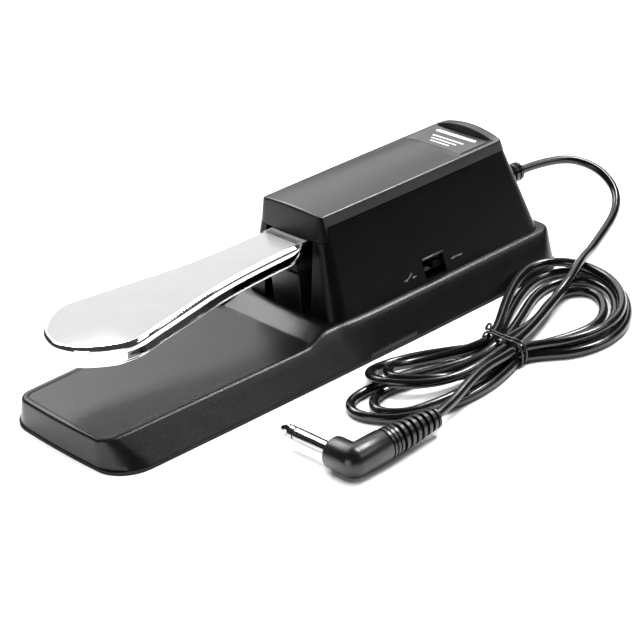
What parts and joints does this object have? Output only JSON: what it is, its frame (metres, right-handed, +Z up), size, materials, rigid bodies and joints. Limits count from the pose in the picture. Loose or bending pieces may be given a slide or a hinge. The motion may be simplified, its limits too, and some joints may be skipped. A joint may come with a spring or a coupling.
{
  "type": "sustain pedal",
  "caption": "Long low sustain pedal: sprung chrome spoon lever hinged in a black housing on a bevelled base, polarity slide switch, bundled cord with right-angle plug.",
  "frame": {"origin": "centre of the base's underside on the floor, measured without the free cord", "axes": "+Z up, +Y from the toe end of the pedal to the cord end, +X towards the side with the slide switch"},
  "size_m": [0.1668, 0.3211, 0.0681],
  "materials": {
    "base_black": "fine-textured black moulding",
    "housing_black": "satin black moulding",
    "lid_black": "dark grey satin moulding",
    "sole_rubber": "black rubber",
    "plain_steel": "zinc-plated sheet",
    "spring_steel": "bright spring wire",
    "fastener": "zinc-plated",
    "chrome": "polished chrome plate",
    "nickel": "polished nickel plate",
    "nylon": "natural nylon",
    "felt": "dense black felt",
    "label": "printed dark film",
    "board": "green laminate",
    "switch_plastic": "black moulding",
    "cord_pvc": "glossy black PVC",
    "wire_pvc": "coloured PVC insulation",
    "tie_pvc": "plastic-coated wire",
    "insulator": "black insulator"
  },
  "bodies": {
    "chassis": {"base_shell": "base_black", "rubber_sole": "sole_rubber", "bottom_plate": "plain_steel", "bottom_screws": "fastener", "housing_screws": "fastener", "housing_shell": "housing_black", "lid": "lid_black", "up_stop_pad": "felt", "label_plate": "label", "pivot_axle": "plain_steel", "axle_clips": "spring_steel", "pivot_bracket": "plain_steel", "bracket_screws": "fastener", "spring_cup": "nylon", "return_spring": "spring_steel", "down_stop_bumper": "sole_rubber", "circuit_board": "board", "board_screws": "fastener", "contact_switch": "switch_plastic", "slide_switch_case": "switch_plastic", "slide_switch_frame": "plain_steel", "cord_clamp": "nylon", "clamp_screws": "fastener", "strain_relief": "cord_pvc", "cord_inner": "cord_pvc", "wire_leads": "wire_pvc", "cord_run": "cord_pvc", "cord_hank": "cord_pvc", "wire_tie": "tie_pvc", "plug_handle": "cord_pvc", "plug_sleeve": "nickel", "plug_insulator": "insulator", "plug_tip": "nickel", "cord_tail": "cord_pvc"},
    "lever": {"pedal_lever": "chrome", "lever_arm": "plain_steel", "lever_rivets": "fastener", "pivot_bushes": "nylon"},
    "leaf": {"contact_leaf": "spring_steel"},
    "selector": {"slide_knob": "switch_plastic"}
  },
  "joints": [
    {"name": "lever_hinge", "type": "hinge", "parent": "chassis", "child": "lever", "pos_m": [0, 0.09516, 0.04393], "axis": [1, 0, 0], "range_deg": [0, 5], "stiffness_Nm_per_rad": 14.5, "springref_deg": -7.62, "deforming": ["return_spring"]},
    {"name": "leaf_hinge", "type": "hinge", "parent": "chassis", "child": "leaf", "pos_m": [0, 0.05734, 0.04069], "axis": [-1, 0, 0], "range_deg": [0, 10.5]},
    {"name": "selector_slide", "type": "slide", "parent": "chassis", "child": "selector", "axis": [0, 1, 0], "range_m": [-0.003, 0]}
  ],
  "couplings": [
    {"joint": "leaf_hinge", "follows": "lever_hinge", "ratio": 2}
  ]
}
